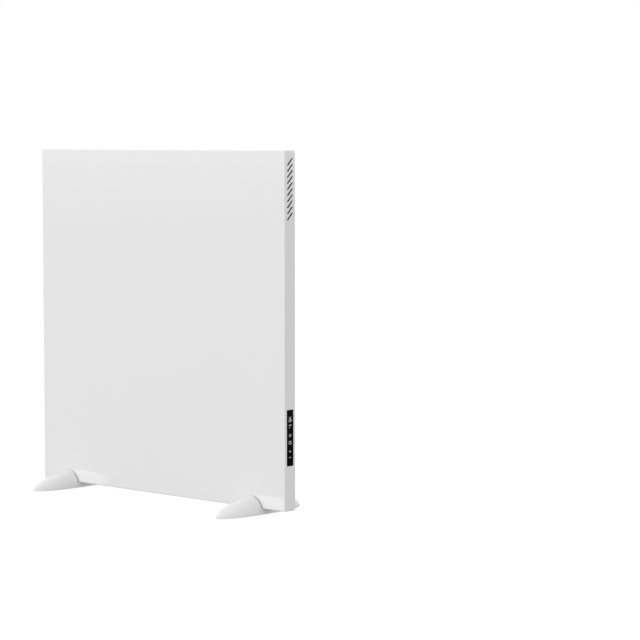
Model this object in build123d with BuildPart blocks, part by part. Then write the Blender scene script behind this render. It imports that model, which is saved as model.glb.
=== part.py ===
"""Infrared panel heater, 60 x 60 cm, standing on two boat-shaped feet.

Millimetres. The origin is on the floor under the middle of the panel, +Z is up, the heating
face looks along -Y, and the edge with the touch strip and the air slots is at +X.
"""

from build123d import *
from math import cos, radians, sin
import os

os.makedirs("parts", exist_ok=True)

# ---------------------------------------------------------------- driving dimensions

# panel casing
panel_width = 600.0
panel_height = 600.0
panel_depth = 26.0
panel_lift = 10.0            # underside of the panel above the floor
sheet = 1.0                  # steel sheet of tray, cover, rails and divider
bend_radius = 1.6            # outside radius of the tray's folds
corner_radius = 2.0
lip_width = 8.0              # rear rim that stays in sight around the cover
ledge_width = 13.0           # sunk ledge that the cover is screwed to
cover_gap = 0.5              # between the cover's edge and the rim
rear_corner = 6.0            # corner radius of the cover and its recess
field_margin = 10.0          # pressed field of the cover, inside the ledge's opening
field_corner = 24.0

# openings in the control edge
slot_count = 10
slot_pitch = 10.0
slot_top_drop = 19.4         # centre of the highest slot under the panel's top
slot_length = 17.4
slot_width = 2.7
slot_angle = 45.0

# glossy touch strip and what carries it
strip_length = 94.0
strip_width = 15.8
strip_corner = 1.2
strip_rise = 122.6           # its middle above the panel's underside
strip_gap = 0.15             # around the strip in its window
strip_flange = 1.5           # rim of the strip behind the sheet
strip_flange_thickness = 1.5
carrier_depth = 8.0
carrier_wall = 1.2
touch_board_thickness = 1.2
display_size = (10.0, 14.0, 4.0)
display_rise = 31.0          # display above the middle of the strip

# cool-air inlet under the electronics
inlet_count = 5
inlet_pitch = 6.0
inlet_length = 12.0
inlet_width = 2.4
inlet_inset = 27.0           # its middle from the control edge

# heating stack, from the front sheet backwards
stack_margin = 16.0          # cold border inside the tray
film_thickness = 0.3
foil_thickness = 0.2
busbar_thickness = 0.2
busbar_height = 10.0
busbar_inset = 6.0
busbar_tab = 5.0             # how far a busbar sticks out of the stack for its lead
board_thickness = 12.0       # insulation board
stripe_count = 10
stripe_gap = 8.0
heater_inset = 6.0           # heating film inside the insulating films
lead_width = 6.0             # flat leads from the busbars
lead_thickness = 0.8
lead_gap = 2.0               # behind the reflector foil
lead_bend = 3.0

# self-resetting thermal cut-out in the insulation board
cutout_length = 18.0
cutout_width = 9.0
cutout_height = 6.0
cutout_gap = 1.0
clip_width = 6.0
clip_flange = 9.0
clip_thickness = 0.5

# electronics bay beside the control edge
bay_width = 55.0
lead_channel = 10.0          # between the stack and the bay's divider
divider_flange = 12.0
bushing_rim = 1.0

# rails behind the insulation board
rail_crown = 26.0
rail_flange = 10.0
wall_pattern = 400.0         # square of the wall-bracket threads

# fasteners
cover_screw_radius = 1.75
cover_head_radius = 3.4
cover_head_height = 2.0
cover_screw_length = 7.0
cover_screw_inset = 14.5     # screws' line from the panel's edge
thread_gap = 0.05
hole_gap = 0.3
wall_nut_radius = 4.4        # across the corners of the hexagonal body
wall_nut_flange = 6.5
wall_nut_bore = 2.5
wall_nut_length = 8.0
foot_nut_radius = 3.5
foot_nut_flange = 5.0
foot_nut_bore = 2.1
foot_nut_length = 10.0
nut_flange_thickness = 0.8

# cord gland
gland_rise = 46.0            # above the panel's underside
gland_radius = 8.0           # threaded neck
gland_bore = 3.6
gland_hex = 10.5
gland_hex_height = 3.0
gland_cap_radius = 9.0
gland_cap_height = 9.0
gland_cap_chamfer = 2.0
gland_nut_radius = 11.5
gland_nut_height = 4.0
gland_neck = 7.0             # neck inside the cover's plane
gland_nut_gap = 1.0          # to the ledge

# feet
foot_length = 200.0
foot_width = 49.0
foot_crown = 31.4            # ridge over the middle of the panel
foot_arch = 1.5              # power of the arch that it shows in front view, 2 for an ellipse
arch_turns = (0, 13, 30, 48, 66, 90)    # corners of its flats, in degrees round the arch
foot_plan = (3.2, 0.68)      # powers of the curve from the middle to the nose, in plan
foot_side = (1.35, 0.47)     # and of the ridge, in side view
foot_stations = (0.4, 0.62, 0.78, 0.89, 0.96, 0.993)    # cross sections, as parts of half the length
hollow_stations = (0.0, 0.46, 0.74, 0.9)
foot_wall = 2.6
foot_rim = 0.7               # rim above the floor
cheek_gap = 1.5              # between a cheek of the foot and the panel
saddle_thickness = 3.4
rib = 2.0
rib_rise = 3.0               # lower edge of the ribs above the floor
rib_stations = (36.0, 60.0)
foot_inset = 70.5            # middle of the left foot from the panel's edge
foot_screw_spacing = 20.0
foot_screw_radius = 2.05
foot_screw_head = 4.0        # across the corners of the hexagonal head, from its middle
foot_head_height = 2.8
foot_screw_length = 12.0
anchor_thickness = 2.0       # plates behind the tray's underside
anchor_width = 20.0
anchor_gap = 1.0             # to the bay's divider, on the right
pad_length = 14.0
pad_width = 18.0
pad_thickness = 2.0
pad_station = 79.0           # from the panel's middle plane
pad_wall = 1.5

# electronics
chassis_thickness = 1.5
board_post = 2.5
power_board_width = 34.0
power_board_height = 130.0
power_board_thickness = 1.6
power_board_rise = 190.0     # lower edge above the panel's underside
component_gap = 3.0          # to the board's edge
transformer_height = 30.0
transformer_depth = 14.0
core_thickness = 8.0
winding_step = 2.0
relay_width = 13.0
relay_height = 28.0
relay_depth = 12.0
relay_rise = 34.0
relay_chamfer = 0.8
capacitor_width = 8.0
capacitor_height = 18.0
socket_width = 6.0
socket_height = 12.0
terminal_width = 30.0
terminal_height = 26.0
terminal_depth = 15.0
terminal_rise = 88.0
terminal_ways = 3
terminal_well = 5.0
ribbon_width = 8.0
ribbon_thickness = 0.8
ribbon_bend = 3.0

# tip-over switch
pendulum_arm = 18.0
pendulum_swing = 15.0        # each way from hanging straight down
pendulum_hub = 3.2
pendulum_thickness = 5.0
bob_radius = 4.0
pin_radius = 1.5
pin_gap = 0.05
side_gap = 0.3
swing_gap = 0.5
case_wall = 1.2
switch_rise = 410.0          # hinge above the panel's underside
magnet = 3.0
magnet_rise = 0.5            # above the bob's lowest point

# baffle and room sensor behind the slots
baffle_width = 18.0
baffle_reach = 12.0          # beyond the outermost slots
baffle_gap = 7.0
sensor_size = 3.0

# ---------------------------------------------------------------- derived planes and places

front_y = -panel_depth / 2
rear_y = panel_depth / 2
right_x = panel_width / 2
bottom_z = panel_lift
top_z = panel_lift + panel_height
middle_z = panel_lift + panel_height / 2

front_inner_y = front_y + sheet
ledge_rear_y = rear_y - sheet
ledge_front_y = ledge_rear_y - sheet
side_inner_x = right_x - sheet
floor_inner_z = bottom_z + sheet
ceiling_z = top_z - sheet
rim_inset = lip_width + ledge_width

divider_right = side_inner_x - bay_width
divider_left = divider_right - sheet
stack_left = -side_inner_x + stack_margin
stack_right = divider_left - lead_channel
stack_bottom = floor_inner_z + stack_margin
stack_top = ceiling_z - stack_margin

front_film_y = front_inner_y + film_thickness
heating_film_y = front_film_y + film_thickness
busbar_y = heating_film_y + busbar_thickness
rear_film_y = busbar_y + film_thickness
foil_y = rear_film_y + foil_thickness
board_y = foil_y + board_thickness

rail_heights = (middle_z - wall_pattern / 2, middle_z + wall_pattern / 2)
field_left = -right_x + rim_inset + field_margin
field_right = divider_left - 2 * divider_flange
strip_z = bottom_z + strip_rise
slot_heights = [top_z - slot_top_drop - i * slot_pitch for i in range(slot_count)]
anchor_reach = foot_screw_spacing / 2 + foot_nut_flange
foot_places = (-right_x + foot_inset, divider_left - anchor_gap - anchor_reach)
foot_screw_points = [
    (place + side * foot_screw_spacing / 2, 0) for place in foot_places for side in (-1, 1)
]
screw_line = right_x - cover_screw_inset
screw_rows = (bottom_z + cover_screw_inset, middle_z, top_z - cover_screw_inset)
cover_screw_points = [(x, z) for x in (-screw_line, screw_line) for z in screw_rows]


def upright(y):
    """Plane across the panel at depth y: local x is X, local y is Z, extrusions go to the front."""
    return Plane.XZ.offset(-y)


def sideways(x):
    """Plane along the panel's edge at x: local x is Y, local y is Z, extrusions go to +X."""
    return Plane.YZ.offset(x)


def save(piece, name):
    """Label a finished sub-part and write it to its own file."""
    piece.part.label = name
    export_step(piece.part, f"parts/{name}.step")


def block(x_left, x_right, y_front, y_rear, z_low, z_high, mode=Mode.ADD):
    """Flat-sided stretch of a sub-part between three pairs of planes."""
    with BuildSketch(upright(y_rear)) as outline:
        with Locations(((x_left + x_right) / 2, (z_low + z_high) / 2)):
            Rectangle(x_right - x_left, z_high - z_low)
    extrude(outline.sketch, amount=y_rear - y_front, mode=mode)


# ---------------------------------------------------------------- front tray

with BuildPart() as front_tray:
    with BuildSketch(upright(rear_y)):
        with Locations((0, middle_z)):
            RectangleRounded(panel_width, panel_height, corner_radius)
    extrude(amount=panel_depth)
    folds = front_tray.edges().filter_by_position(Axis.Y, front_y, front_y)
    folds += front_tray.edges().filter_by_position(Axis.Y, rear_y, rear_y)
    fillet(folds, bend_radius)
    # room behind the front sheet
    with BuildSketch(upright(ledge_front_y)):
        with Locations((0, middle_z)):
            RectangleRounded(panel_width - 2 * sheet, panel_height - 2 * sheet, corner_radius - sheet)
    extrude(amount=ledge_front_y - front_inner_y, mode=Mode.SUBTRACT)
    # the rim steps inward to the ledge: the step's own wall is one sheet wide
    with BuildSketch(upright(ledge_rear_y)):
        with Locations((0, middle_z)):
            Rectangle(panel_width - 2 * sheet, panel_height - 2 * sheet)
            step = 2 * (lip_width - sheet)
            Rectangle(panel_width - step, panel_height - step, mode=Mode.SUBTRACT)
    extrude(amount=sheet, mode=Mode.SUBTRACT)
    with BuildSketch(upright(rear_y)):
        with Locations((0, middle_z)):
            RectangleRounded(panel_width - 2 * lip_width, panel_height - 2 * lip_width, rear_corner)
    extrude(amount=sheet, mode=Mode.SUBTRACT)
    with BuildSketch(upright(ledge_rear_y)):
        with Locations((0, middle_z)):
            RectangleRounded(panel_width - 2 * rim_inset, panel_height - 2 * rim_inset, rear_corner)
        with Locations(*cover_screw_points):
            Circle(cover_screw_radius + thread_gap)
    extrude(amount=sheet, mode=Mode.SUBTRACT)
    # slanted air slots and the touch strip's window in the control edge
    with BuildSketch(sideways(right_x)):
        with Locations(*[(0, z) for z in slot_heights]):
            SlotOverall(slot_length, slot_width, rotation=slot_angle)
        with Locations((0, strip_z)):
            RectangleRounded(strip_width + 2 * strip_gap, strip_length + 2 * strip_gap, strip_corner)
    extrude(amount=-sheet, mode=Mode.SUBTRACT)
    # air inlet and the openings for the feet's nuts in the underside
    with BuildSketch(Plane.XY.offset(bottom_z)):
        with Locations((right_x - inlet_inset, 0)):
            with GridLocations(inlet_pitch, 1, inlet_count, 1):
                Rectangle(inlet_width, inlet_length)
        with Locations(*foot_screw_points):
            RegularPolygon(foot_nut_radius + thread_gap, 6)
    extrude(amount=sheet, mode=Mode.SUBTRACT)
save(front_tray, "front_tray")

# ---------------------------------------------------------------- rear cover and its screws

field_width = field_right - field_left
field_height = panel_height - 2 * (rim_inset + field_margin)
field_middle = ((field_left + field_right) / 2, middle_z)
gland_x = right_x - rim_inset - gland_nut_radius - gland_nut_gap
gland_z = bottom_z + gland_rise

with BuildPart() as rear_cover:
    with BuildSketch(upright(rear_y)):
        with Locations((0, middle_z)):
            inset = lip_width + cover_gap
            RectangleRounded(panel_width - 2 * inset, panel_height - 2 * inset, rear_corner - cover_gap)
    extrude(amount=sheet)
    with BuildSketch(upright(rear_y)):
        with Locations(field_middle):
            RectangleRounded(field_width, field_height, field_corner)
    extrude(amount=sheet, mode=Mode.SUBTRACT)
    with BuildSketch(upright(ledge_rear_y)):
        with Locations(field_middle):
            RectangleRounded(field_width + 2 * sheet, field_height + 2 * sheet, field_corner + sheet)
    extrude(amount=sheet)
    with BuildSketch(upright(rear_y)):
        with Locations(*cover_screw_points):
            Circle(cover_screw_radius + hole_gap)
        with Locations((gland_x, gland_z)):
            Circle(gland_radius + thread_gap)
        with Locations((0, middle_z)):
            with GridLocations(wall_pattern, wall_pattern, 2, 2):
                RegularPolygon(wall_nut_radius + thread_gap, 6)
    extrude(amount=2 * sheet, mode=Mode.SUBTRACT)
save(rear_cover, "rear_cover")

with BuildPart() as cover_screws:
    with BuildSketch(upright(rear_y + cover_head_height)):
        with Locations(*cover_screw_points):
            RegularPolygon(cover_head_radius, 6)
    extrude(amount=cover_head_height)
    with BuildSketch(upright(rear_y)):
        with Locations(*cover_screw_points):
            Circle(cover_screw_radius)
    extrude(amount=cover_screw_length)
save(cover_screws, "cover_screws")

# ---------------------------------------------------------------- bay divider and lead bushings

terminal_low = bottom_z + terminal_rise
terminal_pitch = terminal_height / terminal_ways
lead_heights = (terminal_low + terminal_pitch / 2, terminal_low + terminal_height - terminal_pitch / 2)
lead_front = foil_y + lead_gap
lead_rear = lead_front + lead_width
lead_middle = (lead_front + lead_rear) / 2

with BuildPart() as bay_divider:
    block(divider_left, divider_right, front_inner_y, ledge_rear_y, floor_inner_z, ceiling_z)
    block(divider_left, divider_right + divider_flange, front_inner_y, front_inner_y + sheet,
          floor_inner_z, ceiling_z)
    # the rear flange ends short of the tray's ledge, and the wall passes under it
    block(divider_left, divider_right, ledge_front_y, ledge_rear_y, floor_inner_z,
          bottom_z + rim_inset + hole_gap, mode=Mode.SUBTRACT)
    block(divider_left, divider_right, ledge_front_y, ledge_rear_y, top_z - rim_inset - hole_gap,
          ceiling_z, mode=Mode.SUBTRACT)
    block(divider_left - divider_flange, divider_right, ledge_front_y, ledge_rear_y,
          bottom_z + rim_inset + hole_gap, top_z - rim_inset - hole_gap)
    with BuildSketch(sideways(divider_left)):
        with Locations(*[(lead_middle, z) for z in lead_heights]):
            Rectangle(lead_width + 2 * bushing_rim, lead_thickness + 2 * bushing_rim)
    extrude(amount=sheet, mode=Mode.SUBTRACT)
save(bay_divider, "bay_divider")

with BuildPart() as lead_bushings:
    # a collar on each side of the wall and a sleeve in its window
    for start, length, rim in (
        (divider_left - bushing_rim, bushing_rim, 2 * bushing_rim),
        (divider_left, sheet, bushing_rim),
        (divider_right, bushing_rim, 2 * bushing_rim),
    ):
        with BuildSketch(sideways(start)):
            with Locations(*[(lead_middle, z) for z in lead_heights]):
                Rectangle(lead_width + 2 * rim, lead_thickness + 2 * rim)
                Rectangle(lead_width, lead_thickness, mode=Mode.SUBTRACT)
        extrude(amount=length)
save(lead_bushings, "lead_bushings")

# ---------------------------------------------------------------- rails and wall nuts

rail_left = -right_x + lip_width + hole_gap
rail_right = divider_left - hole_gap

for rail_name, rail_z in zip(("rail_lower", "rail_upper"), rail_heights):
    crown = rail_crown / 2
    with BuildPart() as rail:
        with BuildSketch(sideways(stack_left)):
            with Locations((0, rail_z)):
                # hat section: a crown behind two webs, and two flanges on the board
                with Locations(((board_y + ledge_front_y) / 2, 0)):
                    Rectangle(ledge_front_y - board_y, rail_crown)
                with Locations(((board_y + ledge_front_y - sheet) / 2, 0)):
                    Rectangle(ledge_front_y - sheet - board_y, rail_crown - 2 * sheet, mode=Mode.SUBTRACT)
                with Locations((board_y + sheet / 2, 0)):
                    with GridLocations(1, rail_crown + rail_flange, 1, 2):
                        Rectangle(sheet, rail_flange)
        extrude(amount=rail_right - stack_left)
        # the crown's end reaches under the tray's ledge
        block(rail_left, stack_left, ledge_front_y - sheet, ledge_front_y, rail_z - crown, rail_z + crown)
        with BuildSketch(upright(ledge_front_y)):
            with Locations((0, rail_z)):
                with GridLocations(wall_pattern, 1, 2, 1):
                    RegularPolygon(wall_nut_radius + thread_gap, 6)
        extrude(amount=sheet, mode=Mode.SUBTRACT)
    save(rail, rail_name)

with BuildPart() as wall_nuts:
    with BuildSketch(upright(ledge_rear_y + nut_flange_thickness)):
        with Locations((0, middle_z)):
            with GridLocations(wall_pattern, wall_pattern, 2, 2):
                RegularPolygon(wall_nut_flange, 6)
    extrude(amount=nut_flange_thickness)
    with BuildSketch(upright(ledge_rear_y)):
        with Locations((0, middle_z)):
            with GridLocations(wall_pattern, wall_pattern, 2, 2):
                RegularPolygon(wall_nut_radius, 6)
    extrude(amount=wall_nut_length)
    with BuildSketch(upright(ledge_rear_y + nut_flange_thickness)):
        with Locations((0, middle_z)):
            with GridLocations(wall_pattern, wall_pattern, 2, 2):
                Circle(wall_nut_bore)
    extrude(amount=nut_flange_thickness + wall_nut_length, mode=Mode.SUBTRACT)
save(wall_nuts, "wall_nuts")

# ---------------------------------------------------------------- heating stack

for layer_name, layer_front, layer_rear in (
    ("front_film", front_inner_y, front_film_y),
    ("rear_film", busbar_y, rear_film_y),
    ("reflector_foil", rear_film_y, foil_y),
):
    with BuildPart() as layer:
        block(stack_left, stack_right, layer_front, layer_rear, stack_bottom, stack_top)
    save(layer, layer_name)

film_left = stack_left + heater_inset
film_right = stack_right - heater_inset
film_bottom = stack_bottom + heater_inset
film_top = stack_top - heater_inset
bar_offset = busbar_inset + busbar_height / 2
busbar_middles = (film_bottom + bar_offset, film_top - bar_offset)
stripe_width = (film_right - film_left - (stripe_count - 1) * stripe_gap) / stripe_count
window_low = busbar_middles[0] + busbar_height / 2 + busbar_inset
window_high = busbar_middles[1] - busbar_height / 2 - busbar_inset

with BuildPart() as heating_film:
    block(film_left, film_right, front_film_y, heating_film_y, film_bottom, film_top)
    with BuildSketch(upright(heating_film_y)):
        with Locations(((film_left + film_right) / 2, (window_low + window_high) / 2)):
            with GridLocations(stripe_width + stripe_gap, 1, stripe_count - 1, 1):
                Rectangle(stripe_gap, window_high - window_low)
    extrude(amount=film_thickness, mode=Mode.SUBTRACT)
save(heating_film, "heating_film")

ear_x = stack_right + busbar_tab
with BuildPart() as busbars:
    for bar_z in busbar_middles:
        low, high = bar_z - busbar_height / 2, bar_z + busbar_height / 2
        block(film_left + busbar_inset, ear_x, heating_film_y, busbar_y, low, high)
        block(ear_x - busbar_thickness, ear_x, heating_film_y, lead_rear, low, high)
save(busbars, "busbars")

with BuildPart() as insulation_board:
    block(stack_left, stack_right, foil_y, board_y, stack_bottom, stack_top)
    with BuildSketch(upright(board_y)):
        with Locations((0, middle_z)):
            Rectangle(cutout_length + 2 * cutout_gap, cutout_width + 2 * cutout_gap)
    extrude(amount=board_thickness, mode=Mode.SUBTRACT)
save(insulation_board, "insulation_board")

with BuildPart() as thermal_cutout:
    with BuildSketch(upright(foil_y + cutout_height)):
        with Locations((0, middle_z)):
            RectangleRounded(cutout_length, cutout_width, cutout_gap)
    extrude(amount=cutout_height)
save(thermal_cutout, "thermal_cutout")

with BuildPart() as cutout_clip:
    # spring strip: both ends on the board, the middle pressed down on the cut-out
    mouth = cutout_length / 2 + cutout_gap
    tongue = mouth / 2
    seat = foil_y + cutout_height
    with BuildSketch(Plane.XY.offset(middle_z - clip_width / 2)):
        with BuildLine():
            Polyline(
                (-mouth - clip_flange, board_y), (-mouth, board_y), (-tongue, seat), (tongue, seat),
                (mouth, board_y), (mouth + clip_flange, board_y),
                (mouth + clip_flange, board_y + clip_thickness),
                (mouth - clip_thickness, board_y + clip_thickness),
                (tongue - clip_thickness, seat + clip_thickness),
                (clip_thickness - tongue, seat + clip_thickness),
                (clip_thickness - mouth, board_y + clip_thickness),
                (-mouth - clip_flange, board_y + clip_thickness), close=True)
        make_face()
    extrude(amount=clip_width)
save(cutout_clip, "cutout_clip")

# ---------------------------------------------------------------- touch strip and its carrier

lens_rear = side_inner_x - strip_flange_thickness
carrier_left = lens_rear - carrier_depth
lens_width = strip_width + 2 * strip_flange
lens_length = strip_length + 2 * strip_flange
carrier_width = lens_width + 2 * carrier_wall

with BuildPart() as control_lens:
    with BuildSketch(sideways(side_inner_x)):
        with Locations((0, strip_z)):
            RectangleRounded(strip_width, strip_length, strip_corner)
    extrude(amount=sheet)
    with BuildSketch(sideways(lens_rear)):
        with Locations((0, strip_z)):
            Rectangle(lens_width, lens_length)
    extrude(amount=strip_flange_thickness)
save(control_lens, "control_lens")

with BuildPart() as control_carrier:
    with BuildSketch(sideways(carrier_left)):
        with Locations((0, strip_z)):
            Rectangle(carrier_width, lens_length + 2 * carrier_wall)
            Rectangle(lens_width - 2 * carrier_wall, lens_length - 2 * carrier_wall, mode=Mode.SUBTRACT)
    extrude(amount=carrier_depth)
    # a rim reaches round the strip's flange to the sheet
    with BuildSketch(sideways(lens_rear)):
        with Locations((0, strip_z)):
            Rectangle(carrier_width, lens_length + 2 * carrier_wall)
            Rectangle(lens_width + 2 * strip_gap, lens_length + 2 * strip_gap, mode=Mode.SUBTRACT)
    extrude(amount=strip_flange_thickness)
save(control_carrier, "control_carrier")

with BuildPart() as touch_board:
    with BuildSketch(sideways(carrier_left)):
        with Locations((0, strip_z)):
            Rectangle(carrier_width, lens_length)
    extrude(amount=-touch_board_thickness)
save(touch_board, "touch_board")

with BuildPart() as display_module:
    with BuildSketch(sideways(carrier_left)):
        with Locations((0, strip_z + display_rise)):
            Rectangle(display_size[0], display_size[1])
    extrude(amount=carrier_depth)
save(display_module, "display_module")

# ---------------------------------------------------------------- electronics on their chassis

ribbon_x = carrier_left - touch_board_thickness - 2 * ribbon_bend - ribbon_thickness / 2
chassis_left = divider_right + bushing_rim + hole_gap
chassis_right = ribbon_x - ribbon_thickness / 2 - hole_gap
chassis_middle = (chassis_left + chassis_right) / 2
chassis_front = front_inner_y + sheet
chassis_face = chassis_front + chassis_thickness
power_low = bottom_z + power_board_rise
power_high = power_low + power_board_height
power_left = chassis_middle - power_board_width / 2
power_right = chassis_middle + power_board_width / 2
power_front = chassis_face + board_post
power_face = power_front + power_board_thickness

with BuildPart() as chassis:
    block(chassis_left, chassis_right, chassis_front, chassis_face,
          terminal_low - board_post, power_high + board_post)
    # it stands on the divider's flange and, at its free edge, on a foot of its own
    block(chassis_right - board_post, chassis_right, front_inner_y, chassis_front,
          terminal_low - board_post, power_high + board_post)
    with BuildSketch(upright(power_front)):
        with Locations((chassis_middle, (power_low + power_high) / 2)):
            with GridLocations(power_board_width - board_post, power_board_height - board_post, 2, 2):
                Rectangle(board_post, board_post)
    extrude(amount=board_post)
save(chassis, "chassis")

with BuildPart() as power_board:
    block(power_left, power_right, power_front, power_face, power_low, power_high)
save(power_board, "power_board")

with BuildPart() as transformer:
    # laminated core above and below its winding
    core_high = power_high - component_gap
    core_low = core_high - transformer_height
    for low in (core_low, core_high - core_thickness):
        block(power_left + component_gap, power_right - component_gap, power_face,
              power_face + transformer_depth, low, low + core_thickness)
    block(power_left + 2 * component_gap, power_right - 2 * component_gap, power_face,
          power_face + transformer_depth - winding_step, core_low, core_high)
save(transformer, "transformer")

with BuildPart() as relay:
    block(power_left + component_gap, power_left + component_gap + relay_width, power_face,
          power_face + relay_depth, power_low + relay_rise, power_low + relay_rise + relay_height)
    chamfer(relay.faces().sort_by(Axis.Y)[-1].edges(), relay_chamfer)
save(relay, "relay")

with BuildPart() as filter_capacitor:
    block(power_right - component_gap - capacitor_width, power_right - component_gap, power_face,
          power_face + relay_depth, power_low + relay_rise, power_low + relay_rise + capacitor_height)
save(filter_capacitor, "filter_capacitor")

socket_low = power_low + component_gap
socket_high = socket_low + socket_height
socket_right = power_right - component_gap
with BuildPart() as ribbon_socket:
    block(socket_right - socket_width, socket_right, power_face, power_face + ribbon_width,
          socket_low, socket_high)
save(ribbon_socket, "ribbon_socket")

with BuildPart() as ribbon_cable:
    with BuildSketch(upright(power_face + ribbon_width)):
        with BuildLine():
            FilletPolyline(
                (carrier_left - touch_board_thickness, strip_z),
                (ribbon_x, strip_z),
                (ribbon_x, (socket_low + socket_high) / 2),
                (socket_right, (socket_low + socket_high) / 2),
                radius=ribbon_bend)
        trace(line_width=ribbon_thickness)
    extrude(amount=ribbon_width)
save(ribbon_cable, "ribbon_cable")

with BuildPart() as terminal_block:
    block(chassis_middle - terminal_width / 2, chassis_middle + terminal_width / 2, chassis_face,
          chassis_face + terminal_depth, terminal_low, terminal_low + terminal_height)
    # a screw well over each way, and barriers between the ways
    with BuildSketch(upright(chassis_face + terminal_depth)):
        with Locations((chassis_middle, terminal_low + terminal_height / 2)):
            with GridLocations(terminal_width / 2, terminal_pitch, 2, terminal_ways):
                Rectangle(terminal_well, terminal_well)
    extrude(amount=terminal_depth / 2, mode=Mode.SUBTRACT)
save(terminal_block, "terminal_block")

with BuildPart() as heater_leads:
    for bar_z, lead_z in zip(busbar_middles, lead_heights):
        with BuildSketch(upright(lead_rear)):
            with BuildLine():
                FilletPolyline(
                    (ear_x + lead_thickness / 2, bar_z),
                    (ear_x + lead_thickness / 2, lead_z),
                    (chassis_middle - terminal_width / 2, lead_z),
                    radius=lead_bend)
            trace(line_width=lead_thickness)
        extrude(amount=lead_width)
save(heater_leads, "heater_leads")

# ---------------------------------------------------------------- baffle and room sensor

baffle_low = slot_heights[-1] - baffle_reach
baffle_high = slot_heights[0] + baffle_reach
baffle_x = side_inner_x - baffle_gap

with BuildPart() as vent_baffle:
    with BuildSketch(upright(baffle_width / 2)):
        with Locations(((baffle_x + side_inner_x) / 2, (baffle_low + baffle_high) / 2)):
            Rectangle(baffle_gap, baffle_high - baffle_low)
        with Locations(((baffle_x + sheet + side_inner_x) / 2, (baffle_low + baffle_high) / 2)):
            Rectangle(baffle_gap - sheet, baffle_high - baffle_low - 2 * sheet, mode=Mode.SUBTRACT)
    extrude(amount=baffle_width)
save(vent_baffle, "vent_baffle")

with BuildPart() as room_sensor:
    sensor_z = (slot_heights[0] + slot_heights[-1]) / 2
    block(baffle_x + sheet, baffle_x + sheet + sensor_size, -sensor_size / 2, sensor_size / 2,
          sensor_z - sensor_size, sensor_z + sensor_size)
save(room_sensor, "room_sensor")

# ---------------------------------------------------------------- tip-over switch

hinge_z = bottom_z + switch_rise
case_left = divider_right + case_wall
case_right = case_left + 2 * side_gap + pendulum_thickness
case_reach = pendulum_arm * sin(radians(pendulum_swing)) + bob_radius + swing_gap
case_high = hinge_z + pendulum_hub + swing_gap
case_low = hinge_z - pendulum_arm - bob_radius - swing_gap - sensor_size / 2
bob_z = hinge_z - pendulum_arm
magnet_low = bob_z - bob_radius + magnet_rise

with BuildPart() as tilt_housing:
    block(divider_right, case_right, -case_reach - case_wall, case_reach + case_wall,
          case_low - case_wall, case_high + case_wall)
    block(case_left, case_right, -case_reach, case_reach, case_low, case_high, mode=Mode.SUBTRACT)
    # the pendulum's pin is moulded on the rear wall
    with BuildSketch(sideways(case_left)):
        with Locations((0, hinge_z)):
            Circle(pin_radius)
    extrude(amount=case_right - case_left)
save(tilt_housing, "tilt_housing")

with BuildPart() as tilt_cover:
    block(case_right, case_right + case_wall, -case_reach - case_wall, case_reach + case_wall,
          case_low - case_wall, case_high + case_wall)
save(tilt_cover, "tilt_cover")

with BuildPart() as tilt_pendulum:
    with BuildSketch(sideways(case_left + side_gap)):
        with Locations((0, (hinge_z + bob_z) / 2)):
            Rectangle(pendulum_hub, pendulum_arm)
        with Locations((0, bob_z)):
            Circle(bob_radius)
        with Locations((0, hinge_z)):
            Circle(pendulum_hub)
            Circle(pin_radius + pin_gap, mode=Mode.SUBTRACT)
        with Locations((0, magnet_low + magnet / 2 - bob_radius / 2)):
            Rectangle(magnet, magnet + bob_radius, mode=Mode.SUBTRACT)
    extrude(amount=pendulum_thickness)
save(tilt_pendulum, "tilt_pendulum")

with BuildPart() as tilt_magnet:
    block(case_left + side_gap, case_left + side_gap + pendulum_thickness, -magnet / 2, magnet / 2,
          magnet_low, magnet_low + magnet)
save(tilt_magnet, "tilt_magnet")

with BuildPart() as tilt_sensor:
    block(case_left, case_right, -sensor_size, sensor_size, case_low, case_low + sensor_size / 2)
save(tilt_sensor, "tilt_sensor")

# ---------------------------------------------------------------- cord gland

with BuildPart() as gland_body:
    with BuildSketch(upright(rear_y + gland_hex_height)):
        with Locations((gland_x, gland_z)):
            RegularPolygon(gland_hex, 6)
    extrude(amount=gland_hex_height)
    with BuildSketch(upright(rear_y)):
        with Locations((gland_x, gland_z)):
            Circle(gland_radius)
    extrude(amount=gland_neck)
    with BuildSketch(upright(rear_y + gland_hex_height)):
        with Locations((gland_x, gland_z)):
            Circle(gland_bore)
    extrude(amount=gland_hex_height + gland_neck, mode=Mode.SUBTRACT)
save(gland_body, "gland_body")

with BuildPart() as gland_cap:
    with BuildSketch(upright(rear_y + gland_hex_height + gland_cap_height)):
        with Locations((gland_x, gland_z)):
            RegularPolygon(gland_cap_radius, 6)
    extrude(amount=gland_cap_height)
    chamfer(gland_cap.faces().sort_by(Axis.Y)[-1].edges(), gland_cap_chamfer)
    with BuildSketch(upright(rear_y + gland_hex_height + gland_cap_height)):
        with Locations((gland_x, gland_z)):
            Circle(gland_bore)
    extrude(amount=gland_cap_height, mode=Mode.SUBTRACT)
save(gland_cap, "gland_cap")

with BuildPart() as gland_nut:
    with BuildSketch(upright(ledge_rear_y)):
        with Locations((gland_x, gland_z)):
            RegularPolygon(gland_nut_radius, 6)
            Circle(gland_radius + thread_gap, mode=Mode.SUBTRACT)
    extrude(amount=gland_nut_height)
save(gland_nut, "gland_nut")

# ---------------------------------------------------------------- feet

half_arch = [
    (sin(radians(turn)) ** (2 / foot_arch), cos(radians(turn)) ** (2 / foot_arch))
    for turn in arch_turns[:-1]
] + [(1, 0)]
channel = panel_depth + 2 * cheek_gap
cheek_station = channel / foot_length
saddle_low = panel_lift - saddle_thickness
foot_screws_along = [(-foot_screw_spacing / 2, 0), (foot_screw_spacing / 2, 0)]


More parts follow.
